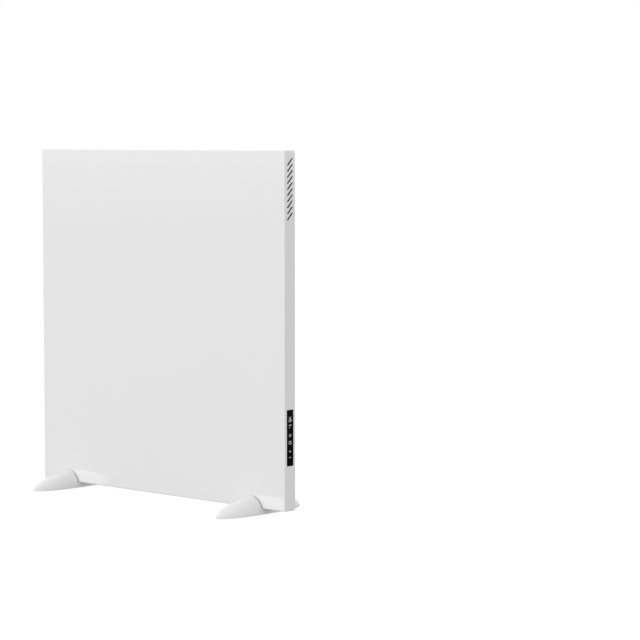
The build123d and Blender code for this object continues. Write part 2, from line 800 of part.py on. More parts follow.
def foot_section(station, inset):
    """Cross section of the boat-shaped foot at a part of half its length, moved inward by inset."""
    half_width = foot_width / 2 * (1 - station**foot_plan[0]) ** foot_plan[1] - inset
    height = (foot_crown - foot_rim) * (1 - station**foot_side[0]) ** foot_side[1] - inset
    half = [(x * half_width, foot_rim + z * height) for x, z in half_arch]
    with BuildSketch(Plane.XZ.offset(station * foot_length / 2), mode=Mode.PRIVATE) as outline:
        Polygon(*[(-x, z) for x, z in reversed(half[1:])], *half, align=None)
    return outline.sketch


with BuildPart() as foot_hollow:
    loft([foot_section(station, foot_wall) for station in hollow_stations], ruled=True)
    mirror(about=Plane.XZ)
    # the saddle between the cheeks
    with BuildSketch(Plane.XY.offset(saddle_low)):
        Rectangle(foot_width, channel + 2 * foot_wall)
    extrude(amount=foot_crown, mode=Mode.SUBTRACT)
    # cross ribs and a spine
    with BuildSketch(Plane.XY.offset(rib_rise)):
        with Locations(*[(0, side * station) for side in (-1, 1) for station in rib_stations]):
            Rectangle(foot_width, rib)
        with Locations(*[(0, side * (rib_stations[-1] + foot_wall + channel / 2) / 2) for side in (-1, 1)]):
            Rectangle(rib, rib_stations[-1] - foot_wall - channel / 2)
    extrude(amount=foot_crown, mode=Mode.SUBTRACT)
    with BuildSketch(Plane.XY.offset(pad_thickness)):
        with GridLocations(1, 2 * pad_station, 1, 2):
            Rectangle(pad_width + 2 * pad_wall, pad_length + 2 * pad_wall)
    extrude(amount=foot_crown, mode=Mode.SUBTRACT)

with BuildPart() as foot:
    loft([foot_section(station, 0) for station in (0, cheek_station, *foot_stations)], ruled=True)
    mirror(about=Plane.XZ)
    # channel for the panel, hollow underside, bolt holes and seats of the nuts' flanges
    with BuildSketch(Plane.XY.offset(panel_lift)):
        Rectangle(foot_width, channel)
    extrude(amount=foot_crown, mode=Mode.SUBTRACT)
    add(foot_hollow.part, mode=Mode.SUBTRACT)
    with BuildSketch(Plane.XY.offset(panel_lift)):
        with Locations(*foot_screws_along):
            RegularPolygon(foot_nut_flange + hole_gap, 6)
    extrude(amount=-nut_flange_thickness - thread_gap, mode=Mode.SUBTRACT)
    with BuildSketch(Plane.XY.offset(panel_lift)):
        with Locations(*foot_screws_along):
            Circle(foot_screw_radius + hole_gap)
    extrude(amount=-saddle_thickness, mode=Mode.SUBTRACT)

with BuildPart() as feet:
    with Locations(*[(place, 0) for place in foot_places]):
        add(foot.part)
save(feet, "feet")

with BuildPart() as foot_pads:
    with BuildSketch():
        with Locations(*[(place, side * pad_station) for place in foot_places for side in (-1, 1)]):
            Rectangle(pad_width, pad_length)
    extrude(amount=pad_thickness)
save(foot_pads, "foot_pads")

with BuildPart() as foot_nuts:
    with BuildSketch(Plane.XY.offset(panel_lift)):
        with Locations(*foot_screw_points):
            RegularPolygon(foot_nut_flange, 6)
    extrude(amount=-nut_flange_thickness)
    with BuildSketch(Plane.XY.offset(panel_lift)):
        with Locations(*foot_screw_points):
            RegularPolygon(foot_nut_radius, 6)
    extrude(amount=foot_nut_length)
    with BuildSketch(Plane.XY.offset(panel_lift - nut_flange_thickness)):
        with Locations(*foot_screw_points):
            Circle(foot_nut_bore)
    extrude(amount=nut_flange_thickness + foot_nut_length, mode=Mode.SUBTRACT)
save(foot_nuts, "foot_nuts")

with BuildPart() as foot_screws:
    with BuildSketch(Plane.XY.offset(saddle_low)):
        with Locations(*foot_screw_points):
            RegularPolygon(foot_screw_head, 6)
    extrude(amount=-foot_head_height)
    with BuildSketch(Plane.XY.offset(saddle_low)):
        with Locations(*foot_screw_points):
            Circle(foot_screw_radius)
    extrude(amount=foot_screw_length)
save(foot_screws, "foot_screws")

with BuildPart() as anchor_plates:
    with BuildSketch(Plane.XY.offset(floor_inner_z)):
        with Locations(*[(place, 0) for place in foot_places]):
            Rectangle(2 * anchor_reach, anchor_width)
        with Locations(*foot_screw_points):
            RegularPolygon(foot_nut_radius + thread_gap, 6, mode=Mode.SUBTRACT)
    extrude(amount=anchor_thickness)
save(anchor_plates, "anchor_plates")
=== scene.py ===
"""Looks of the infrared panel heater: finishes, moulded feet, touch strip, fasteners and studio.

Metres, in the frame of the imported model: floor at z = 0, the heating face looks along -Y, and the
edge with the touch strip and the air slots is at +X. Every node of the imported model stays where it
is and gets its finish. The feet, the strip's glass, the cover's screws and the gland's nut are
modelled again in more detail and stand in for their nodes.
"""

import logging
from dataclasses import dataclass
from enum import Enum
from math import cos, hypot, pi, radians, sin, sqrt
from typing import Callable, Iterable, Sequence

import bmesh
import bpy
from mathutils import Euler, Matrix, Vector


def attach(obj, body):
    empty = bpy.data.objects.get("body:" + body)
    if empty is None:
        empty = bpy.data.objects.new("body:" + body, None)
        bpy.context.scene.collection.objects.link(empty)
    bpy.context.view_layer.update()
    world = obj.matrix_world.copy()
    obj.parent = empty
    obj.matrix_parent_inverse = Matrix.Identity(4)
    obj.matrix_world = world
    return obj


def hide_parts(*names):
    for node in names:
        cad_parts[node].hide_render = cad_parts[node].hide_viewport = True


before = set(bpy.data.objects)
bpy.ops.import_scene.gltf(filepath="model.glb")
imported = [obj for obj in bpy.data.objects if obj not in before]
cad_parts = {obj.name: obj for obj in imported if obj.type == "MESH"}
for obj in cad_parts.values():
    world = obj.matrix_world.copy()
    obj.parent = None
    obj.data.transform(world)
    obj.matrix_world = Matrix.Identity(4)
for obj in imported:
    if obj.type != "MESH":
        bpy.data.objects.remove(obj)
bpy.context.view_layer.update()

BODY = "heater"
MM = 0.001
TOUCH = 1e-6                   # how near, in metres, counts as lying on a plane
CRISP = 35.0                   # degrees between two faces, past which their edge isn't smoothed
FOLD = 60.0                    # degrees between two faces, past which their edge is a fold to bevel
log = logging.getLogger("panel_heater")

Place = tuple[float, float, float]
Colour = tuple[float, float, float]
Piece = bpy.types.Object
Tree = bpy.types.NodeTree
Socket = bpy.types.NodeSocket


# ---------------------------------------------------------------- bench: operators by place


class Pick(Enum):
    """What a selection is made of."""

    VERTEX = "VERT"
    EDGE = "EDGE"
    FACE = "FACE"


def on(value: float, plane: float) -> bool:
    """Say whether a coordinate lies on a plane."""
    return abs(value - plane) < TOUCH


def lay_down_tools() -> None:
    """Go back to object mode with nothing selected."""
    if bpy.context.object and bpy.context.object.mode != "OBJECT":
        bpy.ops.object.mode_set(mode="OBJECT")
    bpy.ops.object.select_all(action="DESELECT")


def take_up(piece: Piece) -> None:
    """Select one piece alone, in object mode, and make it the active one.

    Args:
        piece: The object.
    """
    lay_down_tools()
    piece.select_set(True)
    bpy.context.view_layer.objects.active = piece


def reopen(piece: Piece) -> None:
    """Open a finished piece for editing again."""
    take_up(piece)
    bpy.ops.object.mode_set(mode="EDIT")


def start_piece(name: str) -> Piece:
    """Name the primitive just added and open it for editing.

    Args:
        name: Name of the new piece.

    Returns:
        The object, in edit mode with everything selected.
    """
    piece = bpy.context.object
    piece.name = piece.data.name = name
    bpy.ops.object.transform_apply(location=True, rotation=True, scale=True)
    bpy.ops.object.mode_set(mode="EDIT")
    bpy.ops.mesh.select_all(action="SELECT")
    return piece


def pull(offset: Sequence[float]) -> None:
    """Extrude the selection and move the new part by an offset in metres."""
    bpy.ops.mesh.extrude_region_move(TRANSFORM_OT_translate={"value": tuple(offset)})


def trace(name: str, points: Sequence[Sequence[float]]) -> Piece:
    """Draw a chain of edges through points, as the start of a new piece.

    Args:
        name: Name of the new piece.
        points: The places, in metres, in the order in which they are joined.

    Returns:
        The object, in edit mode with the whole chain selected.
    """
    lay_down_tools()
    bpy.ops.mesh.primitive_plane_add(size=MM, location=points[0])
    piece = start_piece(name)
    bpy.ops.mesh.select_mode(type="VERT")
    bpy.ops.mesh.merge(type="CENTER")
    for here, there in zip(points, points[1:]):
        pull([end - begin for begin, end in zip(here, there)])
    bpy.ops.mesh.select_all(action="SELECT")
    return piece


def pick(kind: Pick, test: Callable[[Vector], bool], whole: bool = False) -> None:
    """Select parts of the mesh that is being edited by where they are.

    Args:
        kind: Vertices, edges or faces.
        test: Says whether a place, in metres, belongs to the selection.
        whole: Test every corner of an edge or face instead of its middle.
    """
    bpy.ops.mesh.select_mode(type=kind.value)
    bpy.ops.mesh.select_all(action="DESELECT")
    data = bpy.context.object.data
    mesh = bmesh.from_edit_mesh(data)
    items = {Pick.VERTEX: mesh.verts, Pick.EDGE: mesh.edges, Pick.FACE: mesh.faces}[kind]
    for item in items:
        corners = [item.co] if kind is Pick.VERTEX else [v.co for v in item.verts]
        if not whole:
            corners = [sum(corners, Vector()) / len(corners)]
        if all(test(corner) for corner in corners):
            item.select_set(True)
    mesh.select_flush(kind is not Pick.FACE)
    bmesh.update_edit_mesh(data)


def pick_folds(test: Callable[[Vector], bool], angle: float = FOLD) -> None:
    """Select the edges in a place where two faces meet at more than an angle.

    Args:
        test: Says whether an end of an edge belongs to the place.
        angle: Smallest angle between the faces, in degrees.
    """
    bpy.ops.mesh.select_mode(type="EDGE")
    bpy.ops.mesh.select_all(action="DESELECT")
    data = bpy.context.object.data
    mesh = bmesh.from_edit_mesh(data)
    for edge in mesh.edges:
        if len(edge.link_faces) == 2 and all(test(v.co) for v in edge.verts):
            if edge.calc_face_angle() > radians(angle):
                edge.select_set(True)
    bmesh.update_edit_mesh(data)


def scale_about(centre: Sequence[float], factors: Sequence[float]) -> None:
    """Scale the selection about a point by a factor for each axis."""
    bpy.ops.transform.resize(value=tuple(factors), center_override=tuple(centre))


def ease(offset: float, segments: int = 4, profile: float = 0.5) -> None:
    """Bevel the selected edges, round unless the profile says otherwise."""
    bpy.ops.mesh.bevel(offset=offset, segments=segments, profile=profile)


def clean_mesh(distance: float = TOUCH) -> None:
    """Merge doubles of the mesh being edited and turn its faces outward.

    Args:
        distance: Points nearer than this, in metres, become one.
    """
    bpy.ops.mesh.select_mode(type="VERT")
    bpy.ops.mesh.select_all(action="SELECT")
    bpy.ops.mesh.remove_doubles(threshold=distance)
    bpy.ops.mesh.normals_make_consistent(inside=False)


def finish_piece(piece: Piece, angle: float = CRISP) -> Piece:
    """Leave edit mode and shade a piece smooth up to an angle.

    Args:
        piece: The object being edited.
        angle: Edges sharper than this, in degrees, stay crisp.

    Returns:
        The same object.
    """
    take_up(piece)
    bpy.ops.object.shade_smooth_by_angle(angle=radians(angle))
    lay_down_tools()
    return piece


def apply_modifier(piece: Piece, kind: str, **settings: object) -> None:
    """Add a modifier to a piece and apply it.

    Args:
        piece: The object, open for editing or not.
        kind: Blender's name of the modifier type.
        settings: Values of the modifier's properties.
    """
    take_up(piece)
    modifier = piece.modifiers.new(kind.title(), kind)
    for key, value in settings.items():
        setattr(modifier, key, value)
    bpy.ops.object.modifier_apply(modifier=modifier.name)


def cut_away(piece: Piece, cutter: Piece) -> None:
    """Take a cutter's volume out of a piece and throw the cutter away."""
    apply_modifier(piece, "BOOLEAN", operation="DIFFERENCE", solver="EXACT", object=cutter)
    bpy.data.objects.remove(cutter)


def copy_of(piece: Piece, name: str) -> Piece:
    """Copy a piece with a mesh of its own.

    Args:
        piece: The object to copy.
        name: Name of the copy.

    Returns:
        The copy, in object mode.
    """
    twin = piece.copy()
    twin.data = piece.data.copy()
    twin.name = twin.data.name = name
    bpy.context.collection.objects.link(twin)
    return twin


def move_mesh(piece: Piece, offset: Sequence[float]) -> None:
    """Move a piece by moving its mesh, so that its object stays at the origin.

    Args:
        piece: The object, in object mode.
        offset: How far, in metres.
    """
    take_up(piece)
    bpy.ops.transform.translate(value=tuple(offset))
    bpy.ops.object.transform_apply(location=True, rotation=True, scale=True)
    lay_down_tools()


def join(pieces: Sequence[Piece], name: str) -> Piece:
    """Join several meshes into one piece.

    Args:
        pieces: The objects to join.
        name: Name of the result.

    Returns:
        The joined object.
    """
    lay_down_tools()
    for piece in pieces:
        piece.select_set(True)
    bpy.context.view_layer.objects.active = pieces[0]
    bpy.ops.object.join()
    pieces[0].name = pieces[0].data.name = name
    lay_down_tools()
    return pieces[0]


def add_node(tree: Tree, kind: str, inputs: dict[str | int, object],
             out: str | int = 0, **settings: object) -> Socket:
    """Add a shader node and fill its inputs.

    Args:
        tree: The nodes of a material or the world.
        kind: Blender's name of the node's type, without its first words.
        inputs: A value or another node's output for each input, by its name or number.
        out: The output that is wanted, by its name or number.
        settings: Values of the node's own properties.

    Returns:
        That output.
    """
    node = tree.nodes.new(f"ShaderNode{kind}")
    for key, value in settings.items():
        setattr(node, key, value)
    for key, value in inputs.items():
        if isinstance(value, Socket):
            tree.links.new(value, node.inputs[key])
        else:
            node.inputs[key].default_value = value
    return node.outputs[out]


# ---------------------------------------------------------------- finishes


class Grain(Enum):
    """Fine structure of a surface."""

    PEEL = "peel"          # sprayed and baked powder
    SPARK = "spark"        # texture of a moulding tool
    BRUSH = "brush"        # rolling or drawing lines
    SPANGLE = "spangle"    # crystals of a zinc coat
    CELL = "cell"          # closed foam cells
    LAYER = "layer"        # stacked sheets
    CORE = "core"          # cores of a flat cable
    TRACK = "track"        # copper tracks under a solder mask


CLOUD = 0.09                   # scale of the soft patches of tone, as a share of one grain's
CLOUD_DETAIL = 3
BRUSH_STRETCH = (1, 40, 40)    # brush lines run along X
WAVE = 0.314                   # length of one wave of the band texture at scale 1, in metres
BANDS = {Grain.LAYER: "Z", Grain.CORE: "Y"}    # axis across the bands
TRACKS = 0.5                   # length of a brick at scale 1, in metres
TRACK_GAP = 0.02
DETAIL = {Grain.PEEL: 2, Grain.SPARK: 4, Grain.BRUSH: 2}
GLOSSIEST = 0.02               # least roughness of any finish
SPECULAR = 0.5                 # the shader's own level


def srgb(level: int, green: int | None = None, blue: int | None = None) -> Colour:
    """Linear colour of 8-bit display values.

    Args:
        level: Red, or grey when it stands alone.
        green: Green, if not grey.
        blue: Blue, if not grey.

    Returns:
        Red, green and blue in linear light.
    """
    values = (level, level if green is None else green, level if blue is None else blue)
    return tuple(
        v / 255 / 12.92 if v <= 10 else ((v / 255 + 0.055) / 1.055) ** 2.4 for v in values
    )


@dataclass(frozen=True)
class Finish:
    """A surface finish: two close colours mixed by its grain, with matching gloss and relief."""

    name: str
    colour: Colour
    second: Colour
    roughness: float
    spread: float              # of the roughness, either way
    grain: Grain
    size: float                # of the grain, in metres
    relief: float              # height of the grain, in metres
    metallic: float = 0.0
    ior: float = 1.5
    painted_shade_box: tuple[Place, Place] | None = None      # corners of a box of painted shade: a dark colour and no gloss
    # colour of that painted shade
    painted_shade_colour: Colour = (0.003, 0.003, 0.003)

    def material(self) -> bpy.types.Material:
        """Build the node material, once for each name.

        Returns:
            The material.
        """
        if self.name in bpy.data.materials:
            return bpy.data.materials[self.name]
        material = bpy.data.materials.new(self.name)
        material.use_nodes = True
        tree = material.node_tree
        shader = tree.nodes["Principled BSDF"]
        shader.inputs["Metallic"].default_value = self.metallic
        shader.inputs["IOR"].default_value = self.ior
        place = tree.nodes.new("ShaderNodeTexCoord").outputs["Object"]
        height = self.structure(tree, place)
        cloud = add_node(tree, "TexNoise", {"Vector": place, "Scale": CLOUD / self.size,
                                            "Detail": CLOUD_DETAIL}, "Fac")
        half = add_node(tree, "Math", {0: cloud, 1: 0.5}, operation="MULTIPLY")
        blend = add_node(tree, "Math", {0: height, 1: 0.5, 2: half}, operation="MULTIPLY_ADD")
        colour = add_node(tree, "Mix", {"Factor": blend, "A": (*self.colour, 1),
                                        "B": (*self.second, 1)}, "Result", data_type="RGBA")
        # painted shade in a box, where the finish has one
        if self.painted_shade_box:
            colour = self.shade(tree, shader, place, colour)
        gloss = add_node(tree, "MapRange", {
            "Value": cloud, "To Min": max(GLOSSIEST, self.roughness - self.spread),
            "To Max": min(1.0, self.roughness + self.spread)}, "Result")
        bump = add_node(tree, "Bump", {"Height": height, "Strength": 1.0,
                                       "Distance": self.relief}, "Normal")
        tree.links.new(colour, shader.inputs["Base Color"])
        tree.links.new(gloss, shader.inputs["Roughness"])
        tree.links.new(bump, shader.inputs["Normal"])
        return material

    def shade(self, tree: Tree, shader: bpy.types.Node, place: Socket, colour: Socket) -> Socket:
        """Paint shade into the surface inside a box, where hardly any light gets to the edges.

        Args:
            tree: The material's nodes.
            shader: The material's shader, which loses its gloss in the box.
            place: Position on the object.
            colour: The colour outside the box.

        Returns:
            The colour with the painted shade in the box.
        """
        axes = tree.nodes.new("ShaderNodeSeparateXYZ")
        tree.links.new(place, axes.inputs[0])
        inside = None
        for along, low, high in zip(axes.outputs, *self.painted_shade_box):
            near = add_node(tree, "Math", {0: along, 1: (low + high) / 2, 2: (high - low) / 2},
                            operation="COMPARE")
            inside = near if inside is None else add_node(
                tree, "Math", {0: inside, 1: near}, operation="MULTIPLY")
        # the painted shade also takes the gloss away in the box
        gloss = add_node(tree, "Math", {0: inside, 1: -SPECULAR, 2: SPECULAR},
                         operation="MULTIPLY_ADD")
        tree.links.new(gloss, shader.inputs["Specular IOR Level"])
        return add_node(tree, "Mix", {"Factor": inside, "A": colour,
                                      "B": (*self.painted_shade_colour, 1)}, "Result", data_type="RGBA")

    def structure(self, tree: Tree, place: Socket) -> Socket:
        """Add the grain's own nodes.

        Args:
            tree: The material's nodes.
            place: Position on the object.

        Returns:
            The height of the grain, 0 to 1.
        """
        at_size = {"Vector": place, "Scale": 1 / self.size}
        if self.grain is Grain.CELL:
            return add_node(tree, "TexVoronoi", at_size, "Distance")
        if self.grain is Grain.SPANGLE:
            crystals = add_node(tree, "TexVoronoi", at_size, "Color")
            return add_node(tree, "SeparateColor", {"Color": crystals}, "Red")
        if self.grain in BANDS:
            return add_node(tree, "TexWave", {"Vector": place, "Scale": WAVE / self.size}, "Fac",
                            bands_direction=BANDS[self.grain])
        if self.grain is Grain.TRACK:
            turned = add_node(tree, "Mapping", {"Vector": place, "Rotation": (pi / 2, 0, 0)})
            return add_node(tree, "TexBrick", {"Vector": turned, "Scale": TRACKS / self.size,
                                               "Mortar Size": TRACK_GAP}, "Fac")
        if self.grain is Grain.BRUSH:
            at_size["Vector"] = add_node(tree, "Mapping", {"Vector": place, "Scale": BRUSH_STRETCH})
        return add_node(tree, "TexNoise", {**at_size, "Detail": DETAIL[self.grain]}, "Fac")


# Painted shade: the walls of the air slots, just under the control edge's outer face, are made
# nearly black and lose their gloss.
POWDER_WHITE = Finish("powder_white", srgb(238), srgb(240), 0.13, 0.02, Grain.PEEL, 0.9 * MM,
                      0.003 * MM, ior=2.1,
                      painted_shade_box=((0.2980, -0.0092, 0.4900), (0.29985, 0.0092, 0.6012)))
# Painted shade: the feet's cheek faces that face the panel, in the narrow gap, are made dark grey
# and lose their gloss.
MOULDED_WHITE = Finish("moulded_white", srgb(228), srgb(231), 0.34, 0.04, Grain.SPARK, 0.25 * MM,
                       0.004 * MM, painted_shade_box=((-0.27, -0.01452, 0.0112), (0.27, 0.01452, 0.0400)),
                       painted_shade_colour=srgb(24))
GLASS_BLACK = Finish("glass_black", srgb(14, 7, 6), srgb(18, 10, 9), 0.12, 0.02, Grain.PEEL,
                     2.0 * MM, 0.0004 * MM, ior=1.22)
LIT_MARK = Finish("lit_mark", srgb(222), srgb(230), 0.4, 0.05, Grain.SPARK, 0.3 * MM, 0.001 * MM)
# Painted shade: the vent baffle behind the air slots is made near-black and nearly without
# reflection, for the shade seen through the slots.
BAFFLE_PAINTED_SHADE = Finish("baffle_painted_shade", srgb(14), srgb(18), 0.8, 0.05, Grain.SPARK, 0.4 * MM,
                      0.01 * MM, ior=1.15)
ZINC_BRIGHT = Finish("zinc_bright", srgb(196, 198, 202), srgb(214, 214, 212), 0.3, 0.06,
                     Grain.BRUSH, 0.6 * MM, 0.002 * MM, metallic=0.7)
ZINC_SHEET = Finish("zinc_sheet", srgb(172, 176, 180), srgb(198, 200, 202), 0.42, 0.1,
                    Grain.SPANGLE, 7 * MM, 0.002 * MM, metallic=1.0)
RUBBER = Finish("rubber_grey", srgb(62), srgb(72), 0.85, 0.05, Grain.SPARK, 0.3 * MM, 0.02 * MM)
NYLON_WHITE = Finish("nylon_white", srgb(222, 222, 218), srgb(230, 230, 227), 0.42, 0.05,
                     Grain.SPARK, 0.3 * MM, 0.004 * MM)
NYLON_BLACK = Finish("nylon_black", srgb(26), srgb(34), 0.5, 0.06, Grain.SPARK, 0.3 * MM,
                     0.006 * MM)
FOAM = Finish("foam_board", srgb(226, 220, 196), srgb(206, 198, 170), 0.9, 0.05, Grain.CELL,
              1.6 * MM, 0.15 * MM)
FOIL = Finish("foil", srgb(214, 216, 220), srgb(232, 232, 234), 0.2, 0.08, Grain.BRUSH, 3 * MM,
              0.01 * MM, metallic=1.0)
FILM = Finish("film_clear", srgb(214, 190, 130), srgb(224, 200, 144), 0.25, 0.05, Grain.PEEL,
              4 * MM, 0.002 * MM)
CARBON = Finish("carbon_print", srgb(24), srgb(40), 0.6, 0.08, Grain.SPARK, 0.6 * MM, 0.004 * MM)
COPPER = Finish("copper", srgb(206, 132, 92), srgb(222, 150, 108), 0.3, 0.08, Grain.BRUSH,
                0.8 * MM, 0.002 * MM, metallic=1.0)
BOARD_GREEN = Finish("board_green", srgb(18, 84, 48), srgb(34, 112, 62), 0.35, 0.05, Grain.TRACK,
                     2.5 * MM, 0.03 * MM)
IRON_CORE = Finish("iron_core", srgb(96, 96, 100), srgb(134, 134, 138), 0.45, 0.08, Grain.LAYER,
                   0.5 * MM, 0.05 * MM, metallic=1.0)
CASE_BLUE = Finish("case_blue", srgb(34, 66, 122), srgb(40, 76, 134), 0.4, 0.05, Grain.SPARK,
                   0.3 * MM, 0.004 * MM)
CASE_YELLOW = Finish("case_yellow", srgb(204, 168, 52), srgb(214, 180, 66), 0.4, 0.05,
                     Grain.SPARK, 0.3 * MM, 0.004 * MM)
CABLE_GREY = Finish("cable_grey", srgb(122, 124, 128), srgb(164, 166, 170), 0.5, 0.05, Grain.CORE,
                    1.27 * MM, 0.3 * MM)
SILICONE_RED = Finish("silicone_red", srgb(150, 44, 34), srgb(166, 56, 44), 0.55, 0.05,
                      Grain.SPARK, 0.4 * MM, 0.01 * MM)
CERAMIC = Finish("ceramic", srgb(212, 204, 186), srgb(224, 216, 200), 0.6, 0.06, Grain.SPARK,
                 0.4 * MM, 0.01 * MM)
MAGNET = Finish("magnet", srgb(150), srgb(170), 0.3, 0.06, Grain.BRUSH, 0.5 * MM, 0.002 * MM,
                metallic=1.0)
DISPLAY_FACE = Finish("display_face", srgb(30), srgb(38), 0.3, 0.04, Grain.SPARK, 0.5 * MM,
                      0.002 * MM)

NODE_FINISHES: dict[str, Finish] = {name: finish for finish, names in (
    (POWDER_WHITE, ("front_tray", "rear_cover")),
    (ZINC_BRIGHT, ("cover_screws", "foot_screws", "foot_nuts", "wall_nuts", "cutout_clip")),
    (MOULDED_WHITE, ("feet",)),
    (RUBBER, ("foot_pads",)),
    (ZINC_SHEET, ("anchor_plates", "rail_lower", "rail_upper", "bay_divider", "chassis")),
    (NYLON_BLACK, ("lead_bushings", "control_carrier", "room_sensor", "tilt_housing",
                   "tilt_cover", "tilt_sensor")),
    (FILM, ("front_film", "rear_film")),
    (CARBON, ("heating_film",)),
    (COPPER, ("busbars",)),
    (FOIL, ("reflector_foil",)),
    (FOAM, ("insulation_board",)),
    (CERAMIC, ("thermal_cutout",)),
    (SILICONE_RED, ("heater_leads",)),
    (GLASS_BLACK, ("control_lens",)),
    (BOARD_GREEN, ("touch_board", "power_board")),
    (DISPLAY_FACE, ("display_module",)),
    (CABLE_GREY, ("ribbon_cable",)),
    (NYLON_WHITE, ("ribbon_socket", "terminal_block", "tilt_pendulum", "gland_body",
                   "gland_cap", "gland_nut")),
    (IRON_CORE, ("transformer",)),
    (CASE_BLUE, ("relay",)),
    (CASE_YELLOW, ("filter_capacitor",)),
    (BAFFLE_PAINTED_SHADE, ("vent_baffle",)),
    (MAGNET, ("tilt_magnet",)),
) for name in names}


def dress(piece: Piece, finish: Finish) -> None:
    """Give a piece one finish all over.

    Args:
        piece: The object, with or without material slots.
        finish: What its surface is to look like.
    """
    if piece.material_slots:
        for slot in piece.material_slots:
            slot.material = finish.material()
    else:
        piece.data.materials.append(finish.material())


def dress_nodes() -> None:
    """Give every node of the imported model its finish."""
    for name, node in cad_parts.items():
        dress(node, NODE_FINISHES[name])
        log.info("node %s: %s", name, NODE_FINISHES[name].name)


# ---------------------------------------------------------------- moulded feet


@dataclass
class Foot:
    """Boat-shaped moulded foot: a rounded arch that runs out to a low nose at each end."""

    places: tuple[float, ...] = (-0.2295, 0.227)
    reach: float = 0.100           # of the curves in plan and side view
    tip: float = 0.0992            # where the nose ends
    nose: float = 0.098            # where its own rounding begins
    blunt: tuple[float, float] = (1e-6, 2e-5)    # half width and height that the tip keeps
    width: float = 0.0490
    crown: float = 0.0314          # ridge over the middle
    plan: tuple[float, float] = (3.2, 0.68)
    side: tuple[float, float] = (1.35, 0.47)
    arch: tuple[float, float] = (2.0, 1.6)    # section's powers across and up, 2 for an ellipse
    arch_steps: int = 28
    rim: float = 0.0007
    cheek: float = 0.0145          # from the middle plane to a cheek
    cheek_edge: float = 0.0009
    cheek_fold: float = 40.0       # degrees, past which an edge of the cheek is eased
    saddle: float = 0.010
    wall: float = 0.0026
    merge: float = 2e-5            # points nearer than this become one
    seam: float = 2e-6             # the same, where the mirrored quarters meet
    stations: int = 20
    nose_stations: int = 7
    rib: float = 0.0018            # thickness of the ribs underneath
    rib_foot: float = 0.0022       # height of their lower edges
    spine_rise: float = 0.0006     # of the middle rib's edge over theirs
    rib_stations: tuple[float, ...] = (0.030, 0.052)
    pad_station: float = 0.079
    pad_seat: tuple[float, float] = (0.021, 0.017)
    pad_height: float = 0.0020
    seat_top: float = 0.0053
    block_corner: float = 0.0015
    plate_crisp: float = 30.0      # degrees, past which an edge of a plate isn't smoothed
    plate_merge: float = 1e-7
    screw_boss: tuple[float, float, float, float] = (0.037, 0.023, 0.0066, 0.0085)

    def fade(self, y: float, powers: tuple[float, float]) -> float:
        """Share of the middle's size that is left at a distance from it.

        Args:
            y: Distance from the middle plane, in metres.
            powers: Inner and outer power of the curve.

        Returns:
            1 in the middle, 0 at the nose's tip.
        """
        share = (1 - (y / self.reach) ** powers[0]) ** powers[1]
        if y > self.nose:
            along = (y - self.nose) / (self.tip - self.nose)
            share *= sqrt(max(0.0, 1 - along**2))
        return share

    def half_width(self, y: float) -> float:
        """Half the plan's width at a distance from the middle."""
        return self.width / 2 * self.fade(y, self.plan)

    def height(self, y: float) -> float:
        """Ridge above the rim at a distance from the middle."""
        return (self.crown - self.rim) * self.fade(y, self.side)

    def section(self, wide: float, tall: float) -> list[tuple[float, float]]:
        """Half of the arch's section, from its top to the rim.

        Args:
            wide: Half its width, in metres.
            tall: Its height over the rim.

        Returns:
            Distance from the middle line and height of each point.
        """
        turns = [pi / 2 * step / self.arch_steps for step in range(self.arch_steps + 1)]
        return [(wide * sin(turn) ** (2 / self.arch[0]),
                 self.rim + tall * abs(cos(turn)) ** (2 / self.arch[1])) for turn in turns]

    def profile(self) -> Piece:
        """Lay half of the arch's section at the cheek's plane, with a point on the saddle's height.

        Returns:
            The foot, begun.
        """
        half = self.section(self.half_width(self.cheek), self.height(self.cheek))
        foot = trace("foot_left", [(x, self.cheek, z) for x, z in half])
        bpy.ops.mesh.bisect(plane_co=(0, 0, self.saddle), plane_no=(0, 0, 1), threshold=1e-7)
        return foot

    def loft(self) -> None:
        """Draw the section out to the nose, ring by ring, each scaled to the plan and the ridge."""
        rings = [self.cheek + (self.nose - self.cheek) * sin(pi / 2 * i / self.stations)
                 for i in range(1, self.stations + 1)]
        rings += [self.nose + (self.tip - self.nose) * sin(pi / 2 * i / self.nose_stations)
                  for i in range(1, self.nose_stations + 1)]
        bpy.ops.mesh.select_all(action="SELECT")
        here = self.cheek
        for y in rings:
            pull((0, y - here, 0))
            wide = max(self.half_width(y), self.blunt[0]) / self.half_width(here)
            tall = max(self.height(y), self.blunt[1]) / self.height(here)
            scale_about((0, y, self.rim), (wide, 1, tall))
            here = y

    def close(self) -> None:
        """Add the cheek and the saddle between the cheeks."""
        pick(Pick.VERTEX, lambda p: on(p.y, self.cheek) and p.z < self.saddle + TOUCH)
        pull((0, -self.cheek, 0))
        scale_about((0, 0, 0), (self.half_width(0) / self.half_width(self.cheek), 1, 1))
        pick(Pick.VERTEX, lambda p: on(p.z, self.saddle) and p.y < self.cheek + TOUCH)
        pull((0, 0, 0))
        scale_about((0, 0, 0), (0, 1, 1))
        pick(Pick.VERTEX, lambda p: on(p.y, self.cheek) and p.z > self.saddle - TOUCH)
        bpy.ops.mesh.edge_face_add()

    def plate(self, name: str, outline: Sequence[Sequence[float]],
              offset: Sequence[float]) -> Piece:
        """Cut a flat plate to an outline and give it its thickness.

        Args:
            name: Name of the plate.
            outline: Its corners, in metres.
            offset: From this side to the other.

        Returns:
            The plate.
        """
        plate = trace(name, outline)
        bpy.ops.mesh.edge_face_add()
        pull(offset)
        clean_mesh(self.plate_merge)
        return finish_piece(plate, self.plate_crisp)

